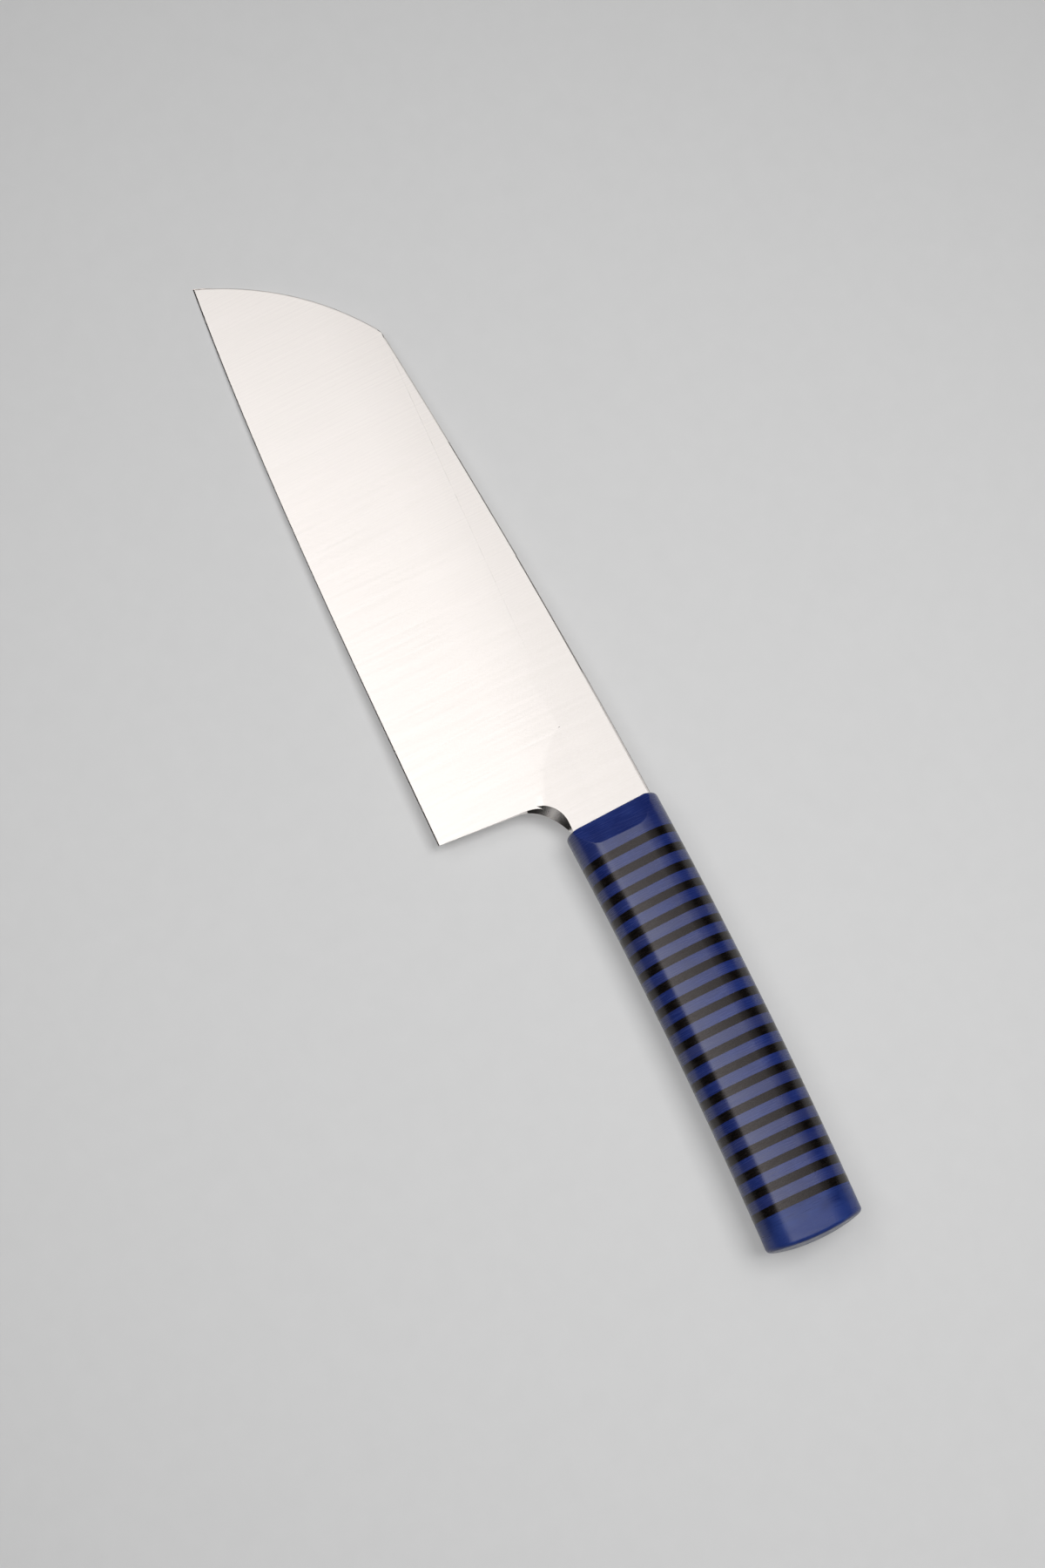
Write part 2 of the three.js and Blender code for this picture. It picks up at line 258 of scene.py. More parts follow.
def streaks(
    tree: bpy.types.NodeTree, place: bpy.types.NodeSocket, size: tuple[float, float],
    fineness: tuple[float, float], turn: float = 0.0,
) -> bpy.types.NodeSocket:
    """Draw noise in streaks that run across the blade or round the handle.

    Args:
        tree: The material's node tree.
        place: The output that gives a point's place.
        size: A streak's width and length.
        fineness: The noise's detail and roughness.
        turn: How far the streaks are turned about the upright axis.

    Returns:
        The noise's output.
    """
    width, length = size
    lines = add_node(tree, "ShaderNodeMapping", {
        "Vector": place, "Rotation": (0.0, 0.0, -turn), "Scale": (1 / width, 1 / length, 1 / length),
    })
    noise = add_node(tree, "ShaderNodeTexNoise", {
        "Vector": lines.outputs["Vector"], "Scale": 1.0, "Detail": fineness[0], "Roughness": fineness[1],
    })
    return noise.outputs["Fac"]


def work_surface(
    tree: bpy.types.NodeTree, surface: bpy.types.Node, tone: bpy.types.NodeSocket,
    marks: bpy.types.NodeSocket, roughness: tuple[float, float], relief: tuple[float, float],
) -> None:
    """Give a surface its tone, and let its marks change its sheen and its relief.

    Args:
        tree: The material's node tree.
        surface: The Principled node.
        tone: The output that gives the colour.
        marks: The noise that stands for the marks of work on the surface.
        roughness: The roughness between and on the marks.
        relief: The strength and depth of the marks.
    """
    sheen = add_node(tree, "ShaderNodeMapRange", {
        "Value": marks, "From Min": NOISE_RANGE[0], "From Max": NOISE_RANGE[1],
        "To Min": roughness[0], "To Max": roughness[1],
    })
    bumps = add_node(tree, "ShaderNodeBump", {"Height": marks, "Strength": relief[0], "Distance": relief[1]})
    tree.links.new(tone, surface.inputs["Base Color"])
    tree.links.new(sheen.outputs["Result"], surface.inputs["Roughness"])
    tree.links.new(bumps.outputs["Normal"], surface.inputs["Normal"])


@dataclass(frozen=True)
class GroundSteel:
    """Stainless blade steel, ground on a belt: a bright satin face with fine lines across the blade.

    The lines spread reflections along the blade more than across it. Real grit lines are about 0.05 mm wide,
    too fine to show, so they are drawn 0.3 mm wide.
    """

    name: str = "belt_ground_stainless_steel"
    light_tone: str = "#f6f1ec"
    dark_tone: str = "#ded8d5"
    roughness: tuple[float, float] = (0.38, 0.44)
    spread: float = 0.3
    line_size: tuple[float, float] = (0.3 * MM, 22.0 * MM)
    line_fineness: tuple[float, float] = (3.0, 0.6)
    line_turn: float = math.radians(-1.5)
    bump: float = 0.07
    line_depth: float = 0.02 * MM

    def material(self) -> bpy.types.Material:
        """Make the node material.

        Returns:
            The material.
        """
        material, tree, surface = new_surface(self.name)
        place = add_node(tree, "ShaderNodeTexCoord").outputs["Object"]
        grain = streaks(tree, place, self.line_size, self.line_fineness, self.line_turn)
        tone = add_node(tree, "ShaderNodeMix", {
            0: grain, 6: linear(self.dark_tone), 7: linear(self.light_tone),
        }, data_type="RGBA")
        work_surface(tree, surface, tone.outputs[2], grain, self.roughness, (self.bump, self.line_depth))
        tangent = add_node(tree, "ShaderNodeTangent", direction_type="UV_MAP")
        surface.inputs["Metallic"].default_value = 1.0
        surface.inputs["Anisotropic"].default_value = self.spread
        tree.links.new(tangent.outputs["Tangent"], surface.inputs["Tangent"])
        return material


@dataclass(frozen=True)
class SandedResin:
    """Blue casting resin, sanded round the handle: a deep even blue under a soft satin sheen.

    The sanding lines are about 0.1 mm wide in life, drawn 0.25 mm wide so that they show.
    """

    name: str = "sanded_blue_resin"
    deep_tone: str = "#162460"
    worn_tone: str = "#29397a"
    hazy_tone: str = "#31396b"
    roughness: tuple[float, float] = (0.2, 0.32)
    line_size: tuple[float, float] = (0.25 * MM, 5.0 * MM)
    line_fineness: tuple[float, float] = (4.0, 0.65)
    cloud_size: float = 7.0 * MM
    wear_range: tuple[float, float] = (0.1, 0.4)
    layer_size: float = 5.2 * MM
    haze_range: tuple[float, float] = (0.45, 0.85)
    bump: float = 0.4
    line_depth: float = 0.03 * MM
    ior: float = 1.6

    def material(self) -> bpy.types.Material:
        """Make the node material.

        Returns:
            The material.
        """
        material, tree, surface = new_surface(self.name)
        place = add_node(tree, "ShaderNodeTexCoord").outputs["Object"]
        grain = streaks(tree, place, self.line_size, self.line_fineness)
        cloud = add_node(tree, "ShaderNodeTexNoise", {
            "Vector": place, "Scale": 1 / self.cloud_size, "Detail": 2.0,
        })
        blend = add_node(tree, "ShaderNodeMath", {0: grain, 1: cloud.outputs["Fac"]}, operation="MULTIPLY")
        wear = add_node(tree, "ShaderNodeMapRange", {
            "Value": blend.outputs["Value"], "From Min": self.wear_range[0], "From Max": self.wear_range[1],
        })
        tone = add_node(tree, "ShaderNodeMix", {
            0: wear.outputs["Result"], 6: linear(self.deep_tone), 7: linear(self.worn_tone),
        }, data_type="RGBA")
        axes = add_node(tree, "ShaderNodeSeparateXYZ", {"Vector": place})
        along = add_node(tree, "ShaderNodeMath", {
            0: axes.outputs["X"], 1: 1 / self.layer_size,
        }, operation="MULTIPLY")
        layer = add_node(tree, "ShaderNodeTexNoise", {
            "W": along.outputs["Value"], "Scale": 1.0, "Detail": 0.0,
        }, noise_dimensions="1D")
        haze = add_node(tree, "ShaderNodeMapRange", {
            "Value": layer.outputs["Fac"], "From Min": self.haze_range[0], "From Max": self.haze_range[1],
        })
        hazy = add_node(tree, "ShaderNodeMix", {
            0: haze.outputs["Result"], 6: tone.outputs[2], 7: linear(self.hazy_tone),
        }, data_type="RGBA")
        work_surface(tree, surface, hazy.outputs[2], grain, self.roughness, (self.bump, self.line_depth))
        surface.inputs["IOR"].default_value = self.ior
        return material


@dataclass(frozen=True)
class PressedFibre:
    """Black vulcanised fibre sheet, sanded with the resin: a black body with a faint brown-grey nap.

    The paper's fibres lie in the sheet, so on the handle's side they show as short streaks round it.
    """

    name: str = "sanded_black_fibre"
    body_tone: str = "#070606"
    fibre_tone: str = "#17110f"
    sheen_tone: str = "#fff5f4"
    roughness: tuple[float, float] = (0.2, 0.34)
    fibre_size: tuple[float, float] = (0.35 * MM, 1.8 * MM)
    fibre_fineness: tuple[float, float] = (4.0, 0.7)
    fibre_range: tuple[float, float] = (0.4, 0.75)
    bump: float = 0.9
    nap_depth: float = 0.04 * MM
    ior: float = 1.5

    def material(self) -> bpy.types.Material:
        """Make the node material.

        Returns:
            The material.
        """
        material, tree, surface = new_surface(self.name)
        place = add_node(tree, "ShaderNodeTexCoord").outputs["Object"]
        nap = streaks(tree, place, self.fibre_size, self.fibre_fineness)
        share = add_node(tree, "ShaderNodeMapRange", {
            "Value": nap, "From Min": self.fibre_range[0], "From Max": self.fibre_range[1],
        })
        tone = add_node(tree, "ShaderNodeMix", {
            0: share.outputs["Result"], 6: linear(self.body_tone), 7: linear(self.fibre_tone),
        }, data_type="RGBA")
        work_surface(tree, surface, tone.outputs[2], nap, self.roughness, (self.bump, self.nap_depth))
        surface.inputs["IOR"].default_value = self.ior
        surface.inputs["Specular Tint"].default_value = linear(self.sheen_tone)
        return material


@dataclass(frozen=True)
class ZincPlate:
    """Bright zinc plate on a turned fastener: pale grey, with the faint cloudiness of a dipped coat."""

    name: str = "zinc_plated_steel"
    light_tone: str = "#c4c7ca"
    dark_tone: str = "#a9acb0"
    roughness: tuple[float, float] = (0.25, 0.4)
    cloud_size: float = 1.5 * MM
    bump: float = 0.1
    cloud_depth: float = 0.02 * MM

    def material(self) -> bpy.types.Material:
        """Make the node material.

        Returns:
            The material.
        """
        material, tree, surface = new_surface(self.name)
        place = add_node(tree, "ShaderNodeTexCoord")
        cloud = add_node(tree, "ShaderNodeTexNoise", {
            "Vector": place.outputs["Object"], "Scale": 1 / self.cloud_size, "Detail": 4.0,
        }).outputs["Fac"]
        tone = add_node(tree, "ShaderNodeMix", {
            0: cloud, 6: linear(self.dark_tone), 7: linear(self.light_tone),
        }, data_type="RGBA")
        work_surface(tree, surface, tone.outputs[2], cloud, self.roughness, (self.bump, self.cloud_depth))
        surface.inputs["Metallic"].default_value = 1.0
        return material


@dataclass(frozen=True)
class StudioPaper:
    """Pale grey studio paper: matt, with a barely seen mottle, painted paler in one place and duller away
    from it, as a pool of light.

    The camera, also in a mirror or through glass, sees part of its tone as light of its own, which lifts the
    shadows as in a bright room. Scattered rays see a duller paper, so that it throws little light back up.
    """

    name: str = "pale_studio_paper"
    # The paper's tone inside the painted pool of light, then its painted duller tone away from it, as the
    # lamps' falloff would leave it.
    painted_light_tone: str = "#e1e1e1"
    painted_falloff_tone: str = "#b8b8b8"
    dull_tone: str = "#6c6c6c"
    painted_light_place: tuple[float, float, float] = (-0.098, -0.024, 0.0)
    painted_light_turn: float = math.radians(20.6)
    painted_light_reach: tuple[float, float, float] = (0.456, 0.381, 1.0)
    mottle_size: float = 6.0 * MM
    mottle_depth: float = 0.02
    lift: float = 0.35
    lift_strength: float = 0.85
    roughness: float = 0.95
    gloss: float = 0.1

    def material(self) -> bpy.types.Material:
        """Make the node material.

        Returns:
            The material.
        """
        material, tree, surface = new_surface(self.name)
        place = add_node(tree, "ShaderNodeTexCoord")
        # Painted light: the paper is made paler in an oval and duller away from it, as if lit most in its
        # middle.
        painted_light_oval = add_node(tree, "ShaderNodeMapping", {
            "Vector": place.outputs["Object"], "Location": self.painted_light_place,
            "Rotation": (0.0, 0.0, self.painted_light_turn), "Scale": self.painted_light_reach,
        }, vector_type="TEXTURE")
        away = add_node(tree, "ShaderNodeVectorMath", {0: painted_light_oval.outputs["Vector"]}, operation="LENGTH")
        fade = add_node(tree, "ShaderNodeMath", {0: away.outputs["Value"], 1: 2.0}, operation="POWER")
        ground = add_node(tree, "ShaderNodeMix", {
            0: fade.outputs["Value"], 6: linear(self.painted_light_tone), 7: linear(self.painted_falloff_tone),
        }, data_type="RGBA")
        mottle = add_node(tree, "ShaderNodeTexNoise", {
            "Vector": place.outputs["Object"], "Scale": 1 / self.mottle_size, "Detail": 3.0,
        })
        level = add_node(tree, "ShaderNodeMapRange", {
            "Value": mottle.outputs["Fac"],
            "To Min": 1 - self.mottle_depth, "To Max": 1 + self.mottle_depth,
        })
        tone = add_node(tree, "ShaderNodeMix", {
            0: 1.0, 6: ground.outputs[2], 7: level.outputs["Result"],
        }, data_type="RGBA", blend_type="MULTIPLY")
        ray = add_node(tree, "ShaderNodeLightPath")
        mirrored = add_node(tree, "ShaderNodeMath", {
            0: ray.outputs["Is Glossy Ray"], 1: ray.outputs["Is Transmission Ray"],
        }, operation="MAXIMUM")
        in_sight = add_node(tree, "ShaderNodeMath", {
            0: ray.outputs["Is Camera Ray"], 1: mirrored.outputs["Value"],
        }, operation="MAXIMUM")
        seen = add_node(tree, "ShaderNodeMix", {
            0: in_sight.outputs["Value"], 6: linear(self.dull_tone), 7: tone.outputs[2],
        }, data_type="RGBA")
        surface.inputs["Roughness"].default_value = self.roughness
        surface.inputs["Specular IOR Level"].default_value = self.gloss
        tree.links.new(seen.outputs[2], surface.inputs["Base Color"])
        share = add_node(tree, "ShaderNodeMath", {
            0: in_sight.outputs["Value"], 1: self.lift,
        }, operation="MULTIPLY")
        glow = add_node(tree, "ShaderNodeEmission", {
            "Color": tone.outputs[2], "Strength": self.lift_strength,
        })
        lifted = add_node(tree, "ShaderNodeMixShader", {
            0: share.outputs["Value"], 1: surface.outputs["BSDF"], 2: glow.outputs["Emission"],
        })
        tree.links.new(lifted.outputs["Shader"], tree.nodes["Material Output"].inputs["Surface"])
        return material


@dataclass(frozen=True)
class HandleForm:
    """One sanded body that the ferrule, the rings and the cap are sawn from.

    Its section is a stadium. Its broad sides are nearly flat at the front and sanded to a slight crown
    behind. Its middle line is bowed towards the cutting edge at both ends, and its cross cuts lean a little,
    more at the front. Its butt is curved in plan and has a rounded rim.
    """

    front: Vector
    width: float = 26.3 * MM
    thickness: float = 17.0 * MM
    flat: float = 10.5 * MM
    front_crown: float = 0.028
    rear_crown: float = 0.16
    crown_run: tuple[float, float] = (8.0 * MM, 30.0 * MM)
    length: float = 120.3 * MM
    stack_end: float = 110.9 * MM
    arch_radius: float = 1500.0 * MM
    front_lean: float = math.radians(2.4)
    rear_lean: float = math.radians(-1.0)
    nose_radius: float = 1.2 * MM
    rim_radius: float = 1.0 * MM
    dome: float = 1.6 * MM
    dome_run: float = 7.0 * MM
    end_steps: int = 36
    flat_steps: int = 8
    round_steps: int = 6
    body_steps: int = 24
    butt_steps: int = 8

    def arch_at(self, along: float) -> float:
        """Tell how far the middle line is bowed at a distance behind the front."""
        return along * (self.length - along) / (2 * self.arch_radius)

    def lean_at(self, along: float) -> float:
        """Tell the angle of a cross cut at a distance behind the front."""
        return self.front_lean + (self.rear_lean - self.front_lean) * along / self.stack_end

    def middle_at(self, along: float) -> Vector:
        """Tell the place of the middle line at a distance behind the front."""
        return self.front + Vector((-along, -self.arch_at(along), 0.0))

    def cut_normal(self, along: float) -> Vector:
        """Tell the normal of a cross cut, towards the blade."""
        lean = self.lean_at(along)
        return Vector((math.cos(lean), math.sin(lean), 0.0))

    def section(self) -> list[tuple[float, float]]:
        """Draw the section's outline.

        Returns:
            Points as distances across and up, in order round the section.
        """
        half_flat = self.flat / 2
        end_width = self.width / 2 - half_flat
        half_height = self.thickness / 2
        points = []
        for side in (1, -1):
            for step in range(self.end_steps + 1):
                angle = math.pi * (step / self.end_steps - 0.5)
                across = half_flat + end_width * math.cos(angle)
                points.append((side * across, side * half_height * math.sin(angle)))
            for step in range(1, self.flat_steps):
                points.append((side * half_flat * (1 - 2 * step / self.flat_steps), side * half_height))
        return points

    def crown_at(self, along: float) -> float:
        """Tell how much the broad sides fall off towards the narrow ones.

        Args:
            along: Distance behind the front.

        Returns:
            The fall, as a share of the height above the middle.
        """
        start, end = self.crown_run
        share = min(max((along - start) / (end - start), 0.0), 1.0)
        return self.front_crown + (self.rear_crown - self.front_crown) * share * share * (3 - 2 * share)

    def stations(self) -> list[tuple[float, float, float]]:
        """List the loops of the form from the front to the butt.

        Returns:
            For each loop, its distance behind the front, its inset, and its share of the full section.
        """
        quarter = [math.pi / 2 * step / self.round_steps for step in range(self.round_steps + 1)]
        nose = self.nose_radius
        loops = [(nose * (1 - math.cos(a)), nose * (1 - math.sin(a)), 1.0) for a in quarter]
        rim = self.length - self.dome - self.rim_radius
        body = rim - nose
        loops += [(nose + body * step / self.body_steps, 0.0, 1.0) for step in range(1, self.body_steps)]
        turn = self.rim_radius
        loops += [(rim + turn * math.sin(a), turn * (1 - math.cos(a)), 1.0) for a in quarter]
        loops += [(rim + turn, turn, 1 - step / self.butt_steps) for step in range(1, self.butt_steps)]
        return loops

    def blank(self) -> bpy.types.Object:
        """Model the whole form.

        A section is extruded loop by loop and closed at the butt. Then its points are moved, to crown the
        sides, lean the cuts and curve the butt.

        Returns:
            The form, from which pieces are sawn.
        """
        section = self.section()
        bpy.ops.object.select_all(action="DESELECT")
        bpy.ops.mesh.primitive_circle_add(vertices=len(section), radius=self.width / 2, fill_type="NGON")
        piece = bpy.context.active_object
        piece.name = "handle_form"
        first, *others = self.stations()
        across_share = 1 - first[1] / (self.width / 2)
        up_share = 1 - first[1] / (self.thickness / 2)
        for point, (across, up) in zip(piece.data.vertices, section):
            point.co = self.middle_at(first[0]) + Vector((0.0, across * across_share, up * up_share))
        with shaping(piece, Pick.FACES):
            place = self.middle_at(first[0])
            for along, inset, share in others:
                new_place = self.middle_at(along)
                new_across = share * (1 - inset / (self.width / 2))
                new_up = share * (1 - inset / (self.thickness / 2))
                bpy.ops.mesh.extrude_region_move(TRANSFORM_OT_translate={"value": new_place - place})
                growth = (1.0, new_across / across_share, new_up / up_share)
                bpy.ops.transform.resize(value=growth, center_override=new_place)
                place, across_share, up_share = new_place, new_across, new_up
            bpy.ops.mesh.extrude_region_move(TRANSFORM_OT_translate={"value": Vector()})
            bpy.ops.mesh.merge(type="CENTER")
            bpy.ops.mesh.select_all(action="SELECT")
            bpy.ops.mesh.normals_make_consistent(inside=False)
        for point in piece.data.vertices:
            along = self.front.x - point.co.x
            across = point.co.y - self.middle_at(along).y
            up = point.co.z - self.front.z
            aside = (2 * across / self.width) ** 2
            point.co.z -= up * self.crown_at(along) * aside
            point.co.x -= across * math.tan(self.lean_at(along))
            past_stack = (along - self.stack_end) / self.dome_run
            point.co.x -= self.dome * (1 - aside) * min(max(past_stack, 0.0), 1.0)
        return piece

    def sawn(
        self, blank: bpy.types.Object, name: str, front: float | None, rear: float | None,
    ) -> bpy.types.Object:
        """Saw one layer out of the form.

        Args:
            blank: The whole form.
            name: The new piece's name.
            front: Distance of the front cut, or None to keep the form's own front.
            rear: Distance of the rear cut, or None to keep the form's own end.

        Returns:
            The new piece.
        """
        piece = own_copy(blank, name)
        if front is not None:
            saw(piece, self.middle_at(front), self.cut_normal(front))
        if rear is not None:
            saw(piece, self.middle_at(rear), -self.cut_normal(rear))
        return piece


@dataclass
class Handle:
    """Ferrule, rings and cap, with the slot for the tang and the pocket for its nut."""

    form: HandleForm
    resin: bpy.types.Material
    cap_resin: bpy.types.Material
    fibre: bpy.types.Material
    ring_count: int
    ferrule_length: float = 9.8 * MM
    facet_length: float = 7.0 * MM
    facet_depth: float = 3.1 * MM
    facet_edge: float = 0.3 * MM
    facet_tilt: tuple[float, float] = (0.3, 0.6)
    facet_area: float = 50.0 * MM * MM
    black_thickness: float = 2.3 * MM
    blue_thickness: float = 2.9 * MM
    slot_width: float = 9.6 * MM
    slot_height: float = 3.0 * MM
    tang_offset: float = -0.5 * MM
    pocket_radius: float = 6.3 * MM
    pocket_depth: float = 7.15 * MM
    margin: float = 5.0 * MM
    pocket_points: int = 48

    def slot_cutter(self) -> bpy.types.Object:
        """Make the bar that cuts the tang's slot."""
        length = self.form.stack_end + 2 * self.margin
        middle = self.form.front + Vector((-self.form.stack_end / 2, self.tang_offset, 0.0))
        bpy.ops.object.select_all(action="DESELECT")
        size = (length, self.slot_width, self.slot_height)
        bpy.ops.mesh.primitive_cube_add(size=1.0, location=middle, scale=size)
        bpy.ops.object.transform_apply()
        return bpy.context.active_object

    def pocket_cutter(self) -> bpy.types.Object:
        """Make the round bar that cuts the cap's pocket."""
        depth = self.pocket_depth + self.margin
        along = self.form.stack_end + (self.pocket_depth - self.margin) / 2
        middle = self.form.front + Vector((-along, self.tang_offset, 0.0))
        bpy.ops.object.select_all(action="DESELECT")
        bpy.ops.mesh.primitive_cylinder_add(
            vertices=self.pocket_points, radius=self.pocket_radius, depth=depth,
            location=middle, rotation=(0.0, math.pi / 2, 0.0),
        )
        bpy.ops.object.transform_apply()
        return bpy.context.active_object

    def ferrule(self, blank: bpy.types.Object, slot: bpy.types.Object) -> bpy.types.Object:
        """Make the ferrule: the form's nose with a planed facet on each broad side.

        Args:
            blank: The whole handle form.
            slot: The tang slot's cutter.

        Returns:
            The dressed piece.
        """
        piece = self.form.sawn(blank, "planed_ferrule", None, self.ferrule_length)
        for side in (1, -1):
            place = self.form.front + Vector((-self.facet_length, 0.0, side * self.form.thickness / 2))
            normal = Vector((self.facet_depth, 0.0, side * self.facet_length)).normalized()
            saw(piece, place, normal)
        least, most = self.facet_tilt
        facets = set()
        for face in piece.data.polygons:
            if least < face.normal.x < most and face.area > self.facet_area:
                facets.update(face.edge_keys)
        with shaping(piece, Pick.EDGES, lambda edge: edge.key in facets):
            bpy.ops.mesh.bevel(offset=self.facet_edge, segments=3, affect="EDGES", clamp_overlap=True)
        cut_out(piece, slot)
        smooth(piece)
        return dress(piece, "front_ferrule", "blue_resin", self.resin)

    def ring(self, blank: bpy.types.Object, slot: bpy.types.Object, node: str, start: float, end: float,
             finish: str, material: bpy.types.Material) -> bpy.types.Object:
        """Make one ring of the stack.

        Args:
            blank: The whole handle form.
            slot: The tang slot's cutter.
            node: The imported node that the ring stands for.
            start: Distance of its front face behind the handle's front.
            end: Distance of its rear face.
            finish: The record's material slot.
            material: The ring's material.

        Returns:
            The dressed piece.
        """
        piece = self.form.sawn(blank, "sanded_" + node, start, end)
        cut_out(piece, slot)
        smooth(piece)
        return dress(piece, node, finish, material)

    def cap(self, blank: bpy.types.Object, pocket: bpy.types.Object) -> bpy.types.Object:
        """Make the butt cap: the form's curved end with the nut's pocket.

        Args:
            blank: The whole handle form.
            pocket: The pocket's cutter.

        Returns:
            The dressed piece.
        """
        piece = self.form.sawn(blank, "domed_butt_cap", self.form.stack_end, None)
        cut_out(piece, pocket)
        smooth(piece)
        return dress(piece, "butt_cap", "blue_resin", self.cap_resin)

    def build(self) -> list[bpy.types.Object]:
        """Make all the pieces of the handle.

        Returns:
            The dressed pieces, from the blade to the butt.
        """
        blank = self.form.blank()
        slot = self.slot_cutter()
        pocket = self.pocket_cutter()
        pieces = [self.ferrule(blank, slot)]
        start = self.ferrule_length
        for number in range(1, self.ring_count + 1):
            end = start + self.black_thickness
            node = f"black_ring_{number:02d}"
            pieces.append(self.ring(blank, slot, node, start, end, "black_fibre", self.fibre))
            if number == self.ring_count:
                break
            start = end + self.blue_thickness
            node = f"blue_ring_{number:02d}"
            pieces.append(self.ring(blank, slot, node, end, start, "blue_resin", self.resin))
        pieces.append(self.cap(blank, pocket))
        for tool in (blank, slot, pocket):
            bpy.data.objects.remove(tool)
        return pieces


@dataclass
class Blade:
    """Blade with its tang, from a copy of its solid.

    Its ground faces are rounded into the flat, its plunge is a ramp and its spine's corners are softened.
    Places on it are counted in plan from the middle of the handle's front face.
    """

    solid: bpy.types.Object
    front: Vector
    steel: bpy.types.Material
    bevel_steel: bpy.types.Material
    tip: tuple[float, float] = (182.5 * MM, 39.15 * MM)
    heel: tuple[float, float] = (12.6 * MM, 43.7 * MM)
    half_stock: float = 1.2 * MM
    edge_height: float = 0.15 * MM
    grind_height: float = 42.0 * MM
    straight_grind: float = 27.0 * MM
    blend_end: float = 48.0 * MM
    blend_steps: int = 7
    blend_start: float = 45.0 * MM
    plunge_start: tuple[float, float] = (10.0 * MM, 14.75 * MM)
    plunge_pull: tuple[float, float] = (20.5 * MM, 10.4 * MM)
    plunge_end: tuple[float, float] = (27.0 * MM, 2.0 * MM)
    plunge_fade: float = 2.0 * MM
    plunge_ramp: float = 1.6 * MM
    plunge_slope: float = 12.0
    spine_softening: float = 0.34 * MM
    strip_softening: float = 0.16 * MM
    spine_bevel_end: float = 38.0 * MM
    spine_strip: float = -5.0 * MM
    strip_tilt: float = math.cos(math.radians(5.0))
    broad_tilt: float = math.cos(math.radians(15.0))
    bevel_tilt: tuple[float, float] = (0.2, 0.98)
    wall_tilt: float = 0.2
    side_tilt: float = 0.9
    corner_turn: float = 0.4
    spine_direction: tuple[float, float, float] = (0.6, -1.0, 0.0)
    spine_share: float = 0.4
    square_corner: float = math.cos(math.radians(40.0))
    touch: float = 0.02 * MM
    merge_reach: float = 0.001 * MM
    spine_merge_reach: float = 0.01 * MM
    flat_limit: float = math.radians(0.05)
    inward: Vector = field(init=False)

    def __post_init__(self) -> None:
        """Work out the direction from the cutting edge towards the spine."""
        run = Vector(self.tip) - Vector(self.heel)
        run.normalize()
        self.inward = Vector((run.y, -run.x))

    def on_plan(self, point: Vector) -> Vector:
        """Tell a point's place in plan, from the middle of the handle's front face."""
        return Vector((point.x - self.front.x, point.y - self.front.y))

    def depth_in(self, plan: Vector) -> float:
        """Tell how far a place lies inside the line from heel to tip."""
        return (plan - Vector(self.heel)).dot(self.inward)

    def solid_height(self, depth: float) -> float:
        """Tell the height of the solid's ground face above the middle of the stock."""
        slope = (self.half_stock - self.edge_height) / self.grind_height
        return min(self.half_stock, self.edge_height + slope * depth)

    def ground_height(self, depth: float) -> float:
        """Tell the height of the rounded ground face, straight at first and then easing into the flat.

        Args:
            depth: Distance inside the line from heel to tip.

        Returns:
            The height above the middle of the stock.
        """
        blend = self.blend_end - self.straight_grind
        slope = (self.half_stock - self.edge_height) / (self.straight_grind + blend / 2)
        straight = min(depth, self.straight_grind)
        over = min(max(depth - self.straight_grind, 0.0), blend)
        return self.edge_height + slope * (straight + over - over * over / (2 * blend))

    def plunge_curve(self, steps: int = 200) -> list[Vector]:
        """Draw the line where the grind starts, in plan.

        Args:
            steps: How many steps the curve is drawn in.

        Returns:
            Points along the line.
        """
        start, pull, end = (Vector(p) for p in (self.plunge_start, self.plunge_pull, self.plunge_end))
        shares = [step / steps for step in range(steps + 1)]
        return [start * (1 - t) ** 2 + pull * (2 * t * (1 - t)) + end * t * t for t in shares]

    def score(self, piece: bpy.types.Object) -> None:
        """Score lines on the faces, parallel to the edge where the grind eases into the flat.

        Args:
            piece: The blade in work.
        """
        edge_normal = Vector((self.inward.x, self.inward.y, 0.0))
        heel = self.front + Vector((*self.heel, 0.0))
        cuts = [(self.front + Vector((self.blend_start, 0.0, 0.0)), Vector((1.0, 0.0, 0.0)))]
        blend = self.blend_end - self.straight_grind
        for step in range(self.blend_steps + 1):
            depth = self.straight_grind + blend * step / self.blend_steps
            cuts.append((heel + edge_normal * depth, edge_normal))
        for place, normal in cuts:
            with shaping(piece, Pick.FACES):
                bpy.ops.mesh.bisect(plane_co=place, plane_no=normal)

    def ease(self, piece: bpy.types.Object) -> None:
        """Round the ground faces into the flat, and turn the plunge's step into a ramp.

        Args:
            piece: The blade in work.
        """
        plunge = self.plunge_curve()
        steepest, flattest = self.bevel_tilt
        on_bevel = set()
        for face in piece.data.polygons:
            if steepest < abs(face.normal.z) < flattest:
                on_bevel.update(face.vertices)
        for point in piece.data.vertices:
            plan = self.on_plan(point.co)
            height = point.co.z - self.front.z
            side = math.copysign(1.0, height)
            depth = self.depth_in(plan)
            on_face = abs(abs(height) - self.solid_height(depth)) < self.touch
            distances = [(plan - place).length for place in plunge]
            step = distances.index(min(distances))
            on_plunge = distances[step] < 4 * self.touch
            lower = abs(height) < self.half_stock - self.touch
            start = self.plunge_start[0] if lower else self.blend_start
            if not (on_face and plan.x > start - self.touch):
                continue
            if on_plunge and lower and point.index not in on_bevel:
                fall = self.half_stock - self.ground_height(depth)
                run = (plunge[min(step + 1, len(plunge) - 1)] - plunge[max(step - 1, 0)]).normalized()
                plan += Vector((-run.y, run.x)) * min(self.plunge_ramp, self.plunge_slope * fall)
                depth = self.depth_in(plan)
                point.co.x = self.front.x + plan.x
                point.co.y = self.front.y + plan.y
            point.co.z = self.front.z + side * self.ground_height(depth)

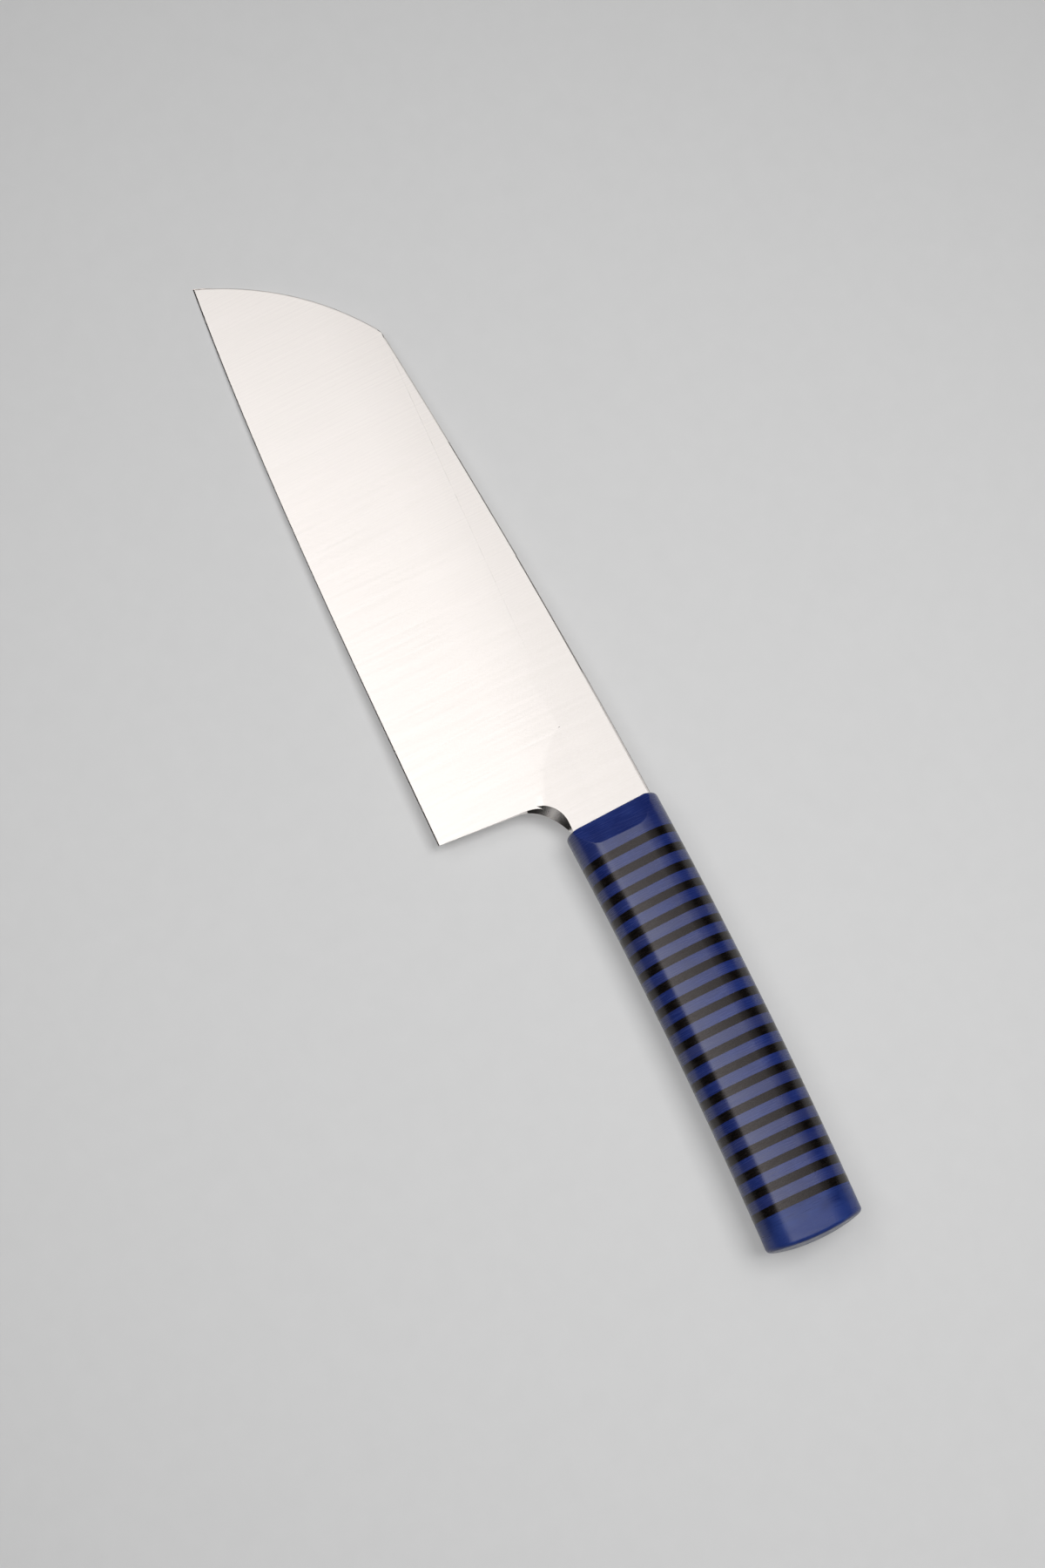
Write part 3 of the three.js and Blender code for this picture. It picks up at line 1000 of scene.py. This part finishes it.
    def is_broad(self, face: bpy.types.MeshPolygon) -> bool:
        """Tell whether a face belongs to the blade's flat or ground sides, and not to a bevel or wall."""
        by_spine = face.center.y - self.front.y < self.spine_strip
        by_plunge_end = (self.on_plan(face.center) - Vector(self.plunge_end)).length < self.plunge_fade
        return by_plunge_end or abs(face.normal.z) > (self.strip_tilt if by_spine else self.broad_tilt)

    def edge_sides(self, piece: bpy.types.Object) -> dict[tuple[int, int], list[bpy.types.MeshPolygon]]:
        """List the faces on both sides of each edge.

        Args:
            piece: The blade in work.

        Returns:
            For each edge's two points, its faces, the most upright one first.
        """
        sides: dict[tuple[int, int], list[bpy.types.MeshPolygon]] = {}
        for face in sorted(piece.data.polygons, key=lambda face: abs(face.normal.z)):
            for key in face.edge_keys:
                sides.setdefault(key, []).append(face)
        return sides

    def soften(self, piece: bpy.types.Object) -> None:
        """Round the corners along the tip's curve and the spine, less so by the handle.

        Args:
            piece: The blade in work.
        """
        middle_line = self.front.x + self.spine_bevel_end
        self.round_corners(piece, middle_line, math.inf, self.spine_softening)
        self.round_corners(piece, self.front.x, middle_line, self.strip_softening)

    def round_corners(self, piece: bpy.types.Object, start: float, end: float, offset: float) -> None:
        """Round the corners between the sides and the spine's or tip's wall, over part of the length.

        Args:
            piece: The blade in work.
            start: Where the rounded part starts, along X.
            end: Where it ends.
            offset: How far the rounding reaches from the corner.
        """
        sides = self.edge_sides(piece)
        towards_spine = Vector(self.spine_direction)

        def on_spine(edge: bpy.types.MeshEdge) -> bool:
            """Tell whether an edge is such a corner in that part."""
            middle = sum(piece.data.vertices[i].co.x for i in edge.vertices) / 2
            wall, side = (sides[edge.key][i].normal for i in (0, -1))
            upright = abs(wall.z) < self.wall_tilt and wall.dot(towards_spine) > self.spine_share
            corner = abs(side.z) > self.side_tilt and wall.dot(side) < self.corner_turn
            return start < middle < end and upright and corner

        with shaping(piece, Pick.EDGES, on_spine):
            bpy.ops.mesh.bevel(offset=offset, segments=3, affect="EDGES", clamp_overlap=False)

    def crisp_edges(self, piece: bpy.types.Object) -> None:
        """Shade the blade smooth, but keep crisp lines round its bevels and at square corners.

        Args:
            piece: The blade in work.
        """
        only(piece)
        bpy.ops.object.shade_smooth()
        sides = self.edge_sides(piece)

        def crisp(edge: bpy.types.MeshEdge) -> bool:
            """Tell whether an edge divides a broad face from a bevel, or is a square corner."""
            steep, flat = sides[edge.key][0], sides[edge.key][-1]
            square = steep.normal.dot(flat.normal) < self.square_corner
            return square or self.is_broad(steep) != self.is_broad(flat)

        with shaping(piece, Pick.EDGES, crisp):
            bpy.ops.mesh.mark_sharp()
        weigh_normals(piece)

    def mark_bevels(self, piece: bpy.types.Object) -> None:
        """Give the bevels the finer finish: choil, cutting edge, spine corner and walls.

        Args:
            piece: The finished blade.
        """
        for face in piece.data.polygons:
            face.material_index = 0 if self.is_broad(face) else 1

    def build(self) -> bpy.types.Object:
        """Make the blade.

        Returns:
            The dressed piece.
        """
        piece = own_copy(self.solid, "ground_blade")
        with shaping(piece, Pick.POINTS, lambda point: point.co.y - self.front.y < self.spine_strip):
            bpy.ops.mesh.remove_doubles(threshold=self.spine_merge_reach)
        with shaping(piece, Pick.POINTS):
            bpy.ops.mesh.remove_doubles(threshold=self.merge_reach)
            bpy.ops.mesh.dissolve_limited(angle_limit=self.flat_limit)
        self.score(piece)
        self.ease(piece)
        self.soften(piece)
        with shaping(piece, Pick.FACES):
            bpy.ops.uv.cube_project(cube_size=1.0)
        self.crisp_edges(piece)
        dress(piece, "blade", "blade_steel", self.steel, self.bevel_steel)
        self.mark_bevels(piece)
        return piece


@dataclass
class TangHardware:
    """Washer and nut inside the cap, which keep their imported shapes."""

    nodes: dict[str, bpy.types.Object]
    plate: bpy.types.Material
    names: tuple[str, ...] = ("stack_washer", "tang_nut")

    def dress(self) -> list[bpy.types.Object]:
        """Give the hardware its finish.

        Returns:
            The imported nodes.
        """
        pieces = [self.nodes[name] for name in self.names]
        for piece in pieces:
            piece.data.materials.clear()
            piece.data.materials.append(self.plate)
            LOG.info("%s keeps its packed shape", piece.name)
        return pieces


@dataclass(frozen=True)
class Softbox:
    """One soft rectangular lamp, which may be brighter in some places than in others."""

    name: str
    place: tuple[float, float, float]
    target: tuple[float, float, float]
    size: tuple[float, float]
    radiance: float
    in_reflections: bool = True
    along_x: Stops = ()
    along_y: Stops = ()

    def shade(self, lamp: bpy.types.Light) -> None:
        """Let the lamp's brightness follow its stops, counted across its face from 0 to 1.

        Args:
            lamp: The lamp's data.
        """
        lamp.use_nodes = True
        tree = lamp.node_tree
        tree.nodes.clear()
        face = add_node(tree, "ShaderNodeNewGeometry")
        place = add_node(tree, "ShaderNodeSeparateXYZ", {"Vector": face.outputs["Parametric"]})
        ramps = []
        for axis, stops in (("X", self.along_x), ("Y", self.along_y)):
            ramp = add_node(tree, "ShaderNodeValToRGB", {"Fac": place.outputs[axis]})
            elements = ramp.color_ramp.elements
            first_count = len(elements)
            for number, (position, share) in enumerate(stops):
                stop = elements[number] if number < first_count else elements.new(position)
                stop.position = position
                stop.color = (share, share, share, 1.0)
            ramps.append(ramp.outputs["Color"])
        both = add_node(tree, "ShaderNodeMath", {0: ramps[0], 1: ramps[1]}, operation="MULTIPLY")
        glow = add_node(tree, "ShaderNodeEmission", {"Strength": both.outputs["Value"]})
        add_node(tree, "ShaderNodeOutputLight", {"Surface": glow.outputs["Emission"]})

    def hang(self) -> bpy.types.Object:
        """Add the lamp to the scene.

        Returns:
            The lamp's object.
        """
        lamp = bpy.data.lights.new(self.name, "AREA")
        lamp.shape = "RECTANGLE"
        lamp.size, lamp.size_y = self.size
        lamp.energy = math.pi * self.radiance * self.size[0] * self.size[1]
        if self.along_x and self.along_y:
            self.shade(lamp)
        holder = bpy.data.objects.new(self.name, lamp)
        holder.location = self.place
        aim = Vector(self.target) - Vector(self.place)
        straight_down = aim.xy.length < 1 * MM
        turn = Matrix.Identity(3) if straight_down else aim.to_track_quat("-Z", "Y").to_matrix()
        holder.rotation_euler = turn.to_euler()
        holder.visible_camera = False
        holder.visible_glossy = self.in_reflections
        bpy.context.scene.collection.objects.link(holder)
        return holder


@dataclass
class Studio:
    """Camera, lamps, world and the paper that the knife lies on.

    The angles of the bank's stops and of the key are in degrees from straight up, as seen from the handle.
    """

    paper: bpy.types.Material
    camera_place: tuple[float, float, float] = (-0.19156, 0.01052, 0.78284)
    camera_right: tuple[float, float, float] = (-0.42468, -0.90105, -0.08815)
    camera_up: tuple[float, float, float] = (0.87713, -0.43360, 0.20653)
    lens: float = 70.0
    sensor: float = 36.0
    paper_pitch: float = math.tan(math.radians(2.1))
    paper_roll: float = math.tan(math.radians(2.5))
    paper_gap: float = 0.05 * MM
    paper_size: float = 8.0
    bank_height: float = 2.0
    bank_radiance: float = 2.65
    bank_along: Stops = (
        (-10.0, 0.0), (-8.0, 1.0), (8.0, 1.0), (14.0, 0.94), (22.0, 0.94), (31.0, 0.7), (39.0, 0.0),
    )
    bank_across: Stops = (
        (-55.0, 0.08), (-24.0, 0.22), (-9.0, 0.41), (-5.5, 0.5), (-2.0, 0.62),
        (1.7, 0.77), (5.3, 0.9), (12.0, 1.0), (28.0, 1.0),
    )
    key_angles: tuple[float, float] = (-4.0, -20.0)
    key_height: float = 1.7
    key_size: tuple[float, float] = (0.82, 0.82)
    key_radiance: float = 8.3
    aim_along: float = 60.0 * MM
    world_tone: str = "#242424"

    def set_camera(self) -> None:
        """Put the camera where the picture was taken from."""
        data = bpy.data.cameras.new("camera")
        data.sensor_fit = "VERTICAL"
        data.sensor_height = self.sensor
        data.lens = self.lens
        camera = bpy.data.objects.new("camera", data)
        right = Vector(self.camera_right).normalized()
        up = Vector(self.camera_up).normalized()
        back = right.cross(up)
        turn = Matrix((right, up, back)).transposed()
        camera.matrix_world = Matrix.Translation(self.camera_place) @ turn.to_4x4()
        bpy.context.scene.collection.objects.link(camera)
        bpy.context.scene.camera = camera

    def lay_paper(self, pieces: list[bpy.types.Object]) -> None:
        """Lay the paper under the knife, which rests on its tip and the ferrule's end of its handle.

        Args:
            pieces: The pieces that rest on it.
        """
        points = [point.co for piece in pieces for point in piece.data.vertices]
        level = min(p.z - self.paper_pitch * p.x - self.paper_roll * p.y for p in points) - self.paper_gap
        bpy.ops.object.select_all(action="DESELECT")
        bpy.ops.mesh.primitive_plane_add(size=self.paper_size)
        paper = bpy.context.active_object
        paper.name = "studio_paper"
        for point in paper.data.vertices:
            point.co.z = level + self.paper_pitch * point.co.x + self.paper_roll * point.co.y
        paper.data.materials.append(self.paper)

    def hang_lamps(self, knife_middle: Vector) -> None:
        """Hang the bank over the knife, brighter towards its cutting edge, and the key towards its spine.

        Args:
            knife_middle: The place from which the bank's angles, in degrees from straight up, are counted.
        """
        rise = self.bank_height - knife_middle.z

        def stops(angles: Stops) -> tuple[float, float, Stops]:
            """Turn angles into the bank's two ends and its stops between them."""
            places = [(rise * math.tan(math.radians(angle)), share) for angle, share in angles]
            first, last = places[0][0], places[-1][0]
            return first, last, tuple(((p - first) / (last - first), share) for p, share in places)

        left, right, along = stops(self.bank_along)
        near, far, across = stops(self.bank_across)
        place = (knife_middle.x + (left + right) / 2, knife_middle.y + (near + far) / 2, self.bank_height)
        target = (place[0], place[1], 0.0)
        size = (right - left, far - near)
        Softbox("overhead_bank", place, target, size, self.bank_radiance, True, along, across).hang()
        aside, across_key = (self.key_height * math.tan(math.radians(angle)) for angle in self.key_angles)
        key_place = (knife_middle.x + aside, knife_middle.y + across_key, self.key_height)
        Softbox("side_key", key_place, tuple(knife_middle), self.key_size, self.key_radiance, False).hang()

    def set_world(self) -> None:
        """Fill the room with a dim even light."""
        world = bpy.data.worlds.new("studio_room")
        world.use_nodes = True
        tree = world.node_tree
        tree.nodes.clear()
        room = add_node(tree, "ShaderNodeBackground", {"Color": linear(self.world_tone), "Strength": 1.0})
        add_node(tree, "ShaderNodeOutputWorld", {"Surface": room.outputs["Background"]})
        bpy.context.scene.world = world
        bpy.context.scene.view_settings.view_transform = "Standard"


def main() -> None:
    """Load the frame, build every piece round it, and set the studio."""
    logging.basicConfig(level=logging.INFO, format="%(name)s: %(message)s")
    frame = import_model()
    nodes = frame["nodes"]
    blade_reach = Vector((Blade.tip[0], Blade.heel[1], 0.0))
    low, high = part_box("blade")
    front = Vector((high.x, high.y, (low.z + high.z) / 2)) - blade_reach

    steel = GroundSteel().material()
    bevel_steel = GroundSteel(
        name="fine_ground_bevel_steel", roughness=(0.2, 0.22), spread=0.0, bump=0.0,
    ).material()
    resin = SandedResin().material()
    cap_resin = SandedResin(
        name="coarse_sanded_blue_resin", deep_tone="#11215c", worn_tone="#314688", hazy_tone="#26397a",
        roughness=(0.24, 0.42), bump=0.6, ior=1.5,
    ).material()
    fibre = PressedFibre().material()
    ring_count = sum(name.startswith("black_ring_") for name in nodes)
    form = HandleForm(front)

    studio = Studio(StudioPaper().material())
    studio.set_camera()
    blade = Blade(nodes["blade"], front, steel, bevel_steel).build()
    handle = Handle(form, resin, cap_resin, fibre, ring_count).build()
    TangHardware(nodes, ZincPlate().material()).dress()
    studio.lay_paper([blade, *handle])
    studio.hang_lamps(form.middle_at(studio.aim_along))
    studio.set_world()

    LOG.info("dressed %d pieces", len(handle) + 1)


if __name__ == "__main__":
    main()
